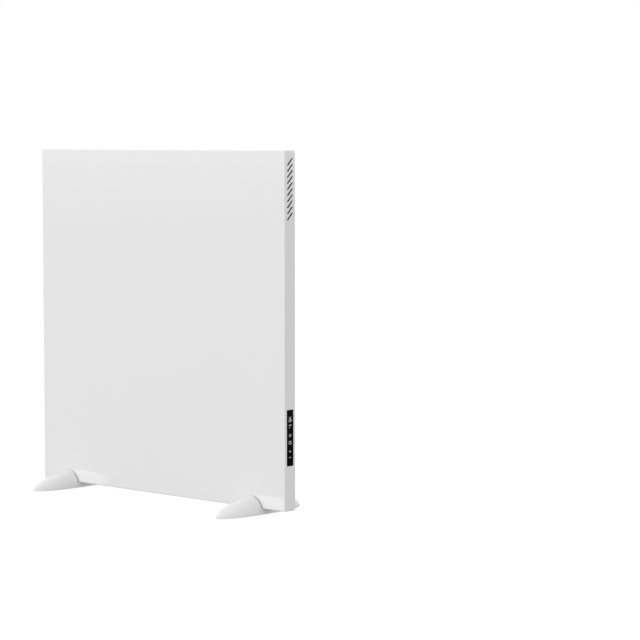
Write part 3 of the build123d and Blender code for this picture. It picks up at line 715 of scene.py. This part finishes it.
    def rib_across(self, y: float, low: float) -> Piece:
        """Make a rib that fills the arch's section down to a height, let into the wall.

        Args:
            y: Where it stands along the foot, in metres.
            low: Height of its lower edge.

        Returns:
            The rib.
        """
        half = self.section(self.half_width(abs(y)) - self.wall / 2,
                            self.height(abs(y)) - self.wall / 2)
        half = [(x, z) for x, z in half if z > low]
        half.append((half[-1][0], low))
        outline = [(x, y - self.rib / 2, z) for x, z in half]
        outline += [(-x, y - self.rib / 2, z) for x, z in reversed(half[1:])]
        return self.plate("rib_across", outline, (0, self.rib, 0))

    def spine(self, side: int) -> Piece:
        """Make the rib along the middle, from a cheek to the nose, let into the wall.

        Args:
            side: -1 for the front half of the foot, 1 for the rear half.

        Returns:
            The rib.
        """
        end = self.pad_station + self.pad_seat[1] / 2
        start = self.cheek + self.wall / 2
        steps = [start + (end - start) * i / self.arch_steps for i in range(self.arch_steps + 1)]
        outline = [(-self.rib / 2, side * y, self.rim + self.height(y) - self.wall / 2)
                   for y in steps]
        low = self.rib_foot + self.spine_rise
        outline += [(-self.rib / 2, side * end, low), (-self.rib / 2, side * start, low)]
        return self.plate("spine", outline, (self.rib, 0, 0))

    def block(self, place: Sequence[float], size: Sequence[float]) -> Piece:
        """Make a block with eased upright edges.

        Args:
            place: Its middle, in metres.
            size: Its size along each axis.

        Returns:
            The block.
        """
        x, y, z = (s / 2 for s in size)
        outline = [(place[0] + i * x, place[1] + j * y, place[2] - z)
                   for i, j in ((-1, -1), (1, -1), (1, 1), (-1, 1))]
        block = self.plate("block", outline, (0, 0, size[2]))
        reopen(block)
        pick(Pick.EDGE, lambda p: abs(p.z - place[2]) < z - TOUCH)
        ease(self.block_corner)
        return finish_piece(block, self.plate_crisp)

    def underside(self) -> list[Piece]:
        """Make the ribs, the pad seats and the screw boss under the arch.

        Returns:
            The pieces, each closed.
        """
        wide, long, low, high = self.screw_boss
        parts = [self.block((0, 0, (low + high) / 2), (wide, long, high - low))]
        for side in (-1, 1):
            parts.append(self.spine(side))
            parts.append(self.block(
                (0, side * self.pad_station, (self.pad_height + self.seat_top) / 2),
                (*self.pad_seat, self.seat_top - self.pad_height)))
            parts.append(self.rib_across(side * self.pad_station, self.seat_top - self.rim))
            parts += [self.rib_across(side * y, self.rib_foot) for y in self.rib_stations]
        return parts

    def build(self) -> None:
        """Model the foot and copy it to its places."""
        foot = self.profile()
        self.loft()
        self.close()
        clean_mesh(self.merge)
        apply_modifier(foot, "MIRROR", use_axis=(True, True, False), merge_threshold=self.seam)
        apply_modifier(foot, "SOLIDIFY", thickness=self.wall, offset=-1, use_even_offset=True)
        reopen(foot)
        pick_folds(lambda p: on(abs(p.y), self.cheek) and p.z > self.saddle - TOUCH,
                   self.cheek_fold)
        ease(self.cheek_edge)
        finish_piece(foot)
        foot = join([foot, *self.underside()], "foot_left")
        for piece, place in zip((foot, copy_of(foot, "foot_right")), self.places):
            move_mesh(piece, (place, 0, 0))
            dress(piece, MOULDED_WHITE)
            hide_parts("feet")
            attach(piece, BODY)
            log.info("piece %s: %d faces", piece.name, len(piece.data.polygons))


# ---------------------------------------------------------------- touch strip


@dataclass
class TouchStrip:
    """Bevelled black glass in the control edge, with its printed marks."""

    face: float = 0.29990          # plane of the glass, a hair under the sheet
    middle: float = 0.1326         # height of the strip's middle
    width: float = 0.0158
    length: float = 0.0940
    corner: float = 0.0012
    bevel: float = 0.0003
    flange: float = 0.0015
    rear: float = 0.2975
    seat: float = 0.2989           # front of the flange, behind the sheet
    print_height: float = 0.00006
    print_crisp: float = 40.0      # degrees, past which an edge of the print isn't smoothed
    ring_steps: int = 28

    def glass(self) -> Piece:
        """Model the glass with its hidden flange.

        Returns:
            The piece that stands in for the plain one.
        """
        lay_down_tools()
        bpy.ops.mesh.primitive_cube_add(
            size=1, location=((self.rear + self.seat) / 2, 0, self.middle),
            scale=(self.seat - self.rear, self.width + 2 * self.flange,
                   self.length + 2 * self.flange))
        piece = start_piece("control_glass")
        pick(Pick.FACE, lambda p: p.x > self.seat - TOUCH, whole=True)
        bpy.ops.mesh.inset(thickness=self.flange)
        pull((self.face - self.seat, 0, 0))
        pick(Pick.EDGE, lambda p: p.x > self.seat - TOUCH and on(abs(p.y), self.width / 2)
             and on(abs(p.z - self.middle), self.length / 2), whole=True)
        ease(self.corner, segments=6)
        pick_folds(lambda p: p.x > self.face - TOUCH)
        ease(self.bevel, segments=3)
        clean_mesh()
        return finish_piece(piece)

    def stroke(self, points: Sequence[tuple[float, float]], width: float) -> Piece:
        """Lay a flat line of print through points on the face.

        Args:
            points: Distance behind the middle line and height above the strip's middle, in mm.
            width: Width of the line, in mm.

        Returns:
            The line as a thin closed mesh.
        """
        piece = trace("mark", [(self.face, y * MM, self.middle + z * MM) for y, z in points])
        bpy.ops.mesh.remove_doubles(threshold=TOUCH)
        take_up(piece)
        bpy.ops.object.convert(target="CURVE")
        piece.data.bevel_depth = width / 2 * MM
        piece.data.bevel_resolution = 2
        piece.data.use_fill_caps = True
        bpy.ops.object.convert(target="MESH")
        reopen(piece)
        bpy.ops.mesh.select_all(action="SELECT")
        scale_about((self.face, 0, 0), (self.print_height * 2 / (width * MM), 1, 1))
        clean_mesh(TOUCH / 10)
        return finish_piece(piece, self.print_crisp)

    def ring(self, y: float, z: float, radius: float, start: float = 0.0,
             end: float = 360.0) -> list[tuple[float, float]]:
        """Draw an arc.

        Args:
            y: Its middle behind the middle line, in mm.
            z: Its middle above the strip's middle, in mm.
            radius: Its radius, in mm.
            start: Where it begins, in degrees from the top.
            end: Where it ends.

        Returns:
            The points along it, in mm.
        """
        span = end - start
        turns = [radians(start + span * i / self.ring_steps) for i in range(self.ring_steps + 1)]
        return [(y + radius * sin(turn), z + radius * cos(turn)) for turn in turns]

    def marks(self) -> Piece:
        """Print the marks: two readings, power, timer, more and less.

        Returns:
            All of them as one piece.
        """
        ring = self.ring
        lines = {
            "upper reading": [(ring(-1.0, 28.9, 2.1), 0.9), ([(-2.6, 35.2), (2.8, 29.6)], 0.9),
                              ([(2.6, 35.2), (-0.4, 31.6)], 0.9),
                              (ring(3.0, 28.8, 1.0, 180, -120), 0.8)],
            "lower reading": [(ring(-1.6, 21.2, 0.9), 0.7), (ring(1.9, 21.2, 0.9), 0.7),
                              ([(-1.5, 18.6), (-1.5, 16.6), (-0.2, 16.6)], 0.7)],
            "power": [(ring(0, 4.4, 2.2, 35, 325), 0.8), ([(0, 5.2), (0, 7.4)], 0.8)],
            "timer": [(ring(0, -8.0, 2.8), 0.8), ([(0, -6.2), (0, -8.0), (1.2, -8.7)], 0.6)],
            "more": [([(-1.7, -22.6), (1.7, -22.6)], 1.0), ([(0, -20.9), (0, -24.3)], 1.0)],
            "less": [([(-1.7, -32.6), (1.7, -32.6)], 1.1)],
        }
        strokes = [self.stroke(points, width) for mark in lines.values() for points, width in mark]
        return join(strokes, "control_marks")

    def build(self) -> None:
        """Make the glass and its print."""
        glass, marks = self.glass(), self.marks()
        for piece, finish in ((glass, GLASS_BLACK), (marks, LIT_MARK)):
            dress(piece, finish)
            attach(piece, BODY)
            log.info("piece %s: %d faces", piece.name, len(piece.data.polygons))
        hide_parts("control_lens")


# ---------------------------------------------------------------- screws and cord gland


@dataclass
class CoverScrews:
    """Cross-recessed pan-head screws that hold the rear cover."""

    line: float = 0.2855           # from the middle, either side
    rows: tuple[float, ...] = (0.0245, 0.3100, 0.5955)
    seat: float = 0.0130           # rear face of the cover's rim
    sides: int = 32
    radius: float = 0.0034
    height: float = 0.0020
    edge: float = 0.0009
    edge_profile: float = 0.6      # a little fuller than round
    shank: float = 0.00175
    tip: float = 0.0060
    tip_taper: float = 0.6
    recess: tuple[float, float, float] = (0.0040, 0.0013, 0.0008)    # across, deep, wide
    recess_taper: float = 0.5
    recess_turn: float = 0.6       # radians from upright

    def screw(self) -> Piece:
        """Model one screw at the first place.

        Returns:
            The screw.
        """
        lay_down_tools()
        x, y, z = (-self.line, self.seat + self.height / 2, self.rows[0])
        bpy.ops.mesh.primitive_cylinder_add(vertices=self.sides, radius=self.radius,
                                            depth=self.height, location=(x, y, z),
                                            rotation=(pi / 2, 0, 0))
        piece = start_piece("cover_screw_1")
        top = self.seat + self.height
        pick(Pick.FACE, lambda p: p.y < self.seat + TOUCH, whole=True)
        bpy.ops.mesh.inset(thickness=self.radius - self.shank)
        pull((0, self.tip - self.seat, 0))
        scale_about((x, self.tip, z), (self.tip_taper, 1, self.tip_taper))
        pick_folds(lambda p: p.y > top - TOUCH)
        ease(self.edge, profile=self.edge_profile)
        clean_mesh()
        finish_piece(piece)
        across, deep, wide = self.recess
        for turn in (self.recess_turn, self.recess_turn + pi / 2):
            bpy.ops.mesh.primitive_cube_add(size=1, location=(x, top, z), rotation=(0, turn, 0),
                                            scale=(across, 2 * deep, wide))
            cutter = start_piece("cutter")
            pick(Pick.FACE, lambda p: p.y < top, whole=True)
            scale_about((x, top - deep, z), (self.recess_taper, 1, self.recess_taper))
            cut_away(piece, cutter)
        return piece

    def build(self) -> None:
        """Copy the screw to its six places."""
        first = self.screw()
        screws = [first]
        spots = [(x, z) for x in (-self.line, self.line) for z in self.rows]
        for x, z in spots[1:]:
            twin = copy_of(first, f"cover_screw_{len(screws) + 1}")
            move_mesh(twin, (x + self.line, 0, z - self.rows[0]))
            screws.append(twin)
        for piece in screws:
            dress(piece, ZINC_BRIGHT)
            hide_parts("cover_screws")
            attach(piece, BODY)
        log.info("pieces cover_screw_1 to %d: %d faces each", len(screws), len(first.data.polygons))


@dataclass
class GlandCap:
    """Domed clamping nut of the cord gland, with the rubber seal in its mouth."""

    place: tuple[float, float] = (0.2665, 0.0560)
    seat: float = 0.0160
    radius: float = 0.0090         # across the corners, from the middle
    height: float = 0.0090
    corner: float = 0.0014
    dome: float = 0.0013
    mouth: float = 0.0052
    mouth_edge: float = 0.0002
    bore: float = 0.0036
    beyond: float = 0.001          # how far a cutter reaches past the end that it opens
    flats: int = 6
    round_sides: int = 40
    seal_depth: float = 0.0030
    seal_sunk: float = 0.0009      # under the mouth's rim
    seal_gap: float = 0.00005      # between the seal and the mouth
    seal_edge: float = 0.0004
    slack: float = 1e-5            # what a point may lie outside its circle

    def off_axis(self, point: Vector) -> float:
        """Distance of a point from the gland's axis."""
        return hypot(point.x - self.place[0], point.z - self.place[1])

    def tube(self, name: str, sides: int, radius: float, low: float, high: float) -> Piece:
        """Start a prism about the gland's axis, with a flat on top if it is a hexagon.

        Args:
            name: Name of the piece.
            sides: Number of sides.
            radius: Across the corners, from the middle.
            low: Nearest end, along Y.
            high: Farthest end.

        Returns:
            The piece, in edit mode.
        """
        lay_down_tools()
        bpy.ops.mesh.primitive_cylinder_add(
            vertices=sides, radius=radius, depth=high - low, rotation=(pi / 2, 0, 0),
            location=(self.place[0], (low + high) / 2, self.place[1]))
        piece = start_piece(name)
        if sides == self.flats:
            bpy.ops.transform.rotate(value=pi / self.flats, orient_axis="Y",
                                     center_override=(self.place[0], 0, self.place[1]))
        return piece

    def drill(self, low: float, high: float, radius: float) -> None:
        """Open a round hole from one end face to the other, both ready at their hole's outline.

        Args:
            low: Nearest end, along Y.
            high: Farthest end.
            radius: Of the hole.
        """
        radius += self.slack
        for end in (low, high):
            pick(Pick.FACE, lambda p: on(p.y, end) and self.off_axis(p) < radius, whole=True)
            bpy.ops.mesh.delete(type="FACE")
        pick(Pick.VERTEX, lambda p: (on(p.y, low) or on(p.y, high)) and self.off_axis(p) < radius)
        bpy.ops.mesh.bridge_edge_loops()

    def cap(self) -> Piece:
        """Model the nut: hexagonal, with eased corners, a dome and an open mouth.

        Returns:
            The nut.
        """
        top = self.seat + self.height
        piece = self.tube("gland_nut_cap", self.flats, self.radius, self.seat, top)
        pick(Pick.EDGE, lambda p: on(p.y, (self.seat + top) / 2))
        ease(self.corner, segments=5)
        pick_folds(lambda p: p.y > top - TOUCH)
        ease(self.dome, segments=5)
        clean_mesh()
        finish_piece(piece)
        for radius, low in ((self.bore, self.seat - self.beyond),
                            (self.mouth, top - self.seal_depth)):
            cutter = self.tube("cutter", self.round_sides, radius, low, top + self.beyond)
            pick_folds(lambda p: p.y < low + TOUCH)
            ease(self.mouth_edge, segments=2)
            cut_away(piece, cutter)
        return finish_piece(piece)

    def seal(self) -> Piece:
        """Model the rubber ring in the mouth.

        Returns:
            The ring.
        """
        top = self.seat + self.height
        low, high = top - self.seal_depth, top - self.seal_sunk
        radius = self.mouth - self.seal_gap
        piece = self.tube("gland_seal", self.round_sides, radius, low, high)
        for end in (low, high):
            pick(Pick.FACE, lambda p: on(p.y, end), whole=True)
            bpy.ops.mesh.inset(thickness=radius - self.bore)
        self.drill(low, high, self.bore)
        pick_folds(lambda p: p.y > high - TOUCH)
        ease(self.seal_edge, segments=3)
        clean_mesh()
        return finish_piece(piece)

    def build(self) -> None:
        """Make the nut and its seal."""
        cap, seal = self.cap(), self.seal()
        for piece, finish in ((cap, NYLON_WHITE), (seal, RUBBER)):
            dress(piece, finish)
            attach(piece, BODY)
            log.info("piece %s: %d faces", piece.name, len(piece.data.polygons))
        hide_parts("gland_cap")


# ---------------------------------------------------------------- studio


@dataclass
class Studio:
    """Pale floor, white surroundings, one soft lamp and the camera."""

    eye: Place = (2.9447, -2.8590, 0.6341)
    heading: float = 42.04         # camera's turn about the vertical, in degrees
    pitch: float = -4.475
    lens: float = 132.77
    sensor: float = 36.0
    sight: float = 500.0           # how far the camera sees, in metres
    floor_size: float = 400.0
    floor_tone: float = 0.14       # as it throws light back on the object
    floor_glow: float = 0.37       # evens that light out under the object
    floor_shadow: float = 0.12     # as the camera sees its shadows
    floor_white: float = 0.92      # what brings it up to white there
    floor_mirror: float = 0.12     # as gloss mirrors it, darker than a foot
    sky: float = 1.01              # as it lights matt surfaces
    lamp_place: Place = (-2.6, -8.0, 2.6)
    lamp_aim: Place = (0.0, 0.0, 0.3)
    lamp_size: float = 4.0
    lamp_power: float = 217.0

    def camera(self) -> None:
        """Place the camera where the photograph was taken from."""
        data = bpy.data.cameras.new("camera")
        data.lens, data.sensor_width = self.lens, self.sensor
        data.clip_end = self.sight
        camera = bpy.data.objects.new("camera", data)
        camera.location = self.eye
        camera.rotation_euler = Euler((radians(90 + self.pitch), 0, radians(self.heading)))
        bpy.context.scene.collection.objects.link(camera)
        bpy.context.scene.camera = camera

    def seen(self, tree: Tree, rays: Iterable[str]) -> Socket:
        """Add nodes that are 1 for some kinds of ray.

        Args:
            tree: The nodes of a material or the world.
            rays: Names of the light path's outputs.

        Returns:
            The sum of those outputs, at most 1.
        """
        path = tree.nodes.new("ShaderNodeLightPath")
        total = None
        for ray in rays:
            total = path.outputs[ray] if total is None else add_node(
                tree, "Math", {0: total, 1: path.outputs[ray]}, operation="ADD", use_clamp=True)
        return total

    def world(self) -> None:
        """Set up white surroundings that light the object at a plain level."""
        world = bpy.data.worlds.new("studio")
        world.use_nodes = True
        bpy.context.scene.world = world
        tree = world.node_tree
        back = tree.nodes["Background"]
        back.inputs["Color"].default_value = (1, 1, 1, 1)
        rays = self.seen(tree, ("Is Camera Ray", "Is Glossy Ray", "Is Transmission Ray"))
        level = add_node(tree, "MapRange", {"Value": rays, "To Min": self.sky, "To Max": 1.0})
        tree.links.new(level, back.inputs["Strength"])

    def paint(self, tree: Tree, tone: float, glow: float = 0.0) -> Socket:
        """Add a matt grey that may also glow white.

        Args:
            tree: The floor's nodes.
            tone: The grey, 0 to 1.
            glow: Strength of the glow.

        Returns:
            The two added up.
        """
        grey = add_node(tree, "BsdfDiffuse", {"Color": (tone, tone, tone, 1)})
        if not glow:
            return grey
        light = add_node(tree, "Emission", {"Strength": glow})
        return add_node(tree, "AddShader", {0: grey, 1: light})

    def floor(self) -> None:
        """Lay a floor that looks white, keeps a soft shadow and throws light back up."""
        lay_down_tools()
        bpy.ops.mesh.primitive_plane_add(size=self.floor_size)
        floor = bpy.context.object
        floor.name = "floor"
        material = bpy.data.materials.new("floor_pale")
        material.use_nodes = True
        tree = material.node_tree
        tree.nodes.remove(tree.nodes["Principled BSDF"])
        direct = add_node(tree, "MixShader", {
            0: self.seen(tree, ("Is Camera Ray", "Is Transmission Ray")),
            1: self.paint(tree, self.floor_tone, self.floor_glow),
            2: self.paint(tree, self.floor_shadow, self.floor_white)})
        mirrored = add_node(tree, "MixShader", {
            0: self.seen(tree, ("Is Glossy Ray",)), 1: direct,
            2: self.paint(tree, self.floor_mirror)})
        tree.links.new(mirrored, tree.nodes["Material Output"].inputs["Surface"])
        floor.data.materials.append(material)

    def lamp(self) -> None:
        """Hang a square soft lamp that looks at the object's middle and isn't mirrored."""
        data = bpy.data.lights.new("key", "AREA")
        data.shape, data.size, data.energy = "SQUARE", self.lamp_size, self.lamp_power
        lamp = bpy.data.objects.new("key", data)
        lamp.location = self.lamp_place
        lamp.visible_glossy = False
        aim = Vector(self.lamp_aim) - Vector(self.lamp_place)
        lamp.rotation_euler = aim.to_track_quat("-Z", "Y").to_euler()
        bpy.context.scene.collection.objects.link(lamp)

    def build(self) -> None:
        """Set up the whole studio."""
        bpy.context.scene.view_settings.view_transform = "Standard"
        self.camera()
        self.world()
        self.floor()
        self.lamp()


def main() -> None:
    """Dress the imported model, build the pieces that the looks need, and set up the studio."""
    logging.basicConfig(level=logging.INFO, format="%(name)s: %(message)s")
    dress_nodes()
    Foot().build()
    TouchStrip().build()
    CoverScrews().build()
    GlandCap().build()
    Studio().build()
    log.info("sizes written")


if __name__ == "__main__":
    main()
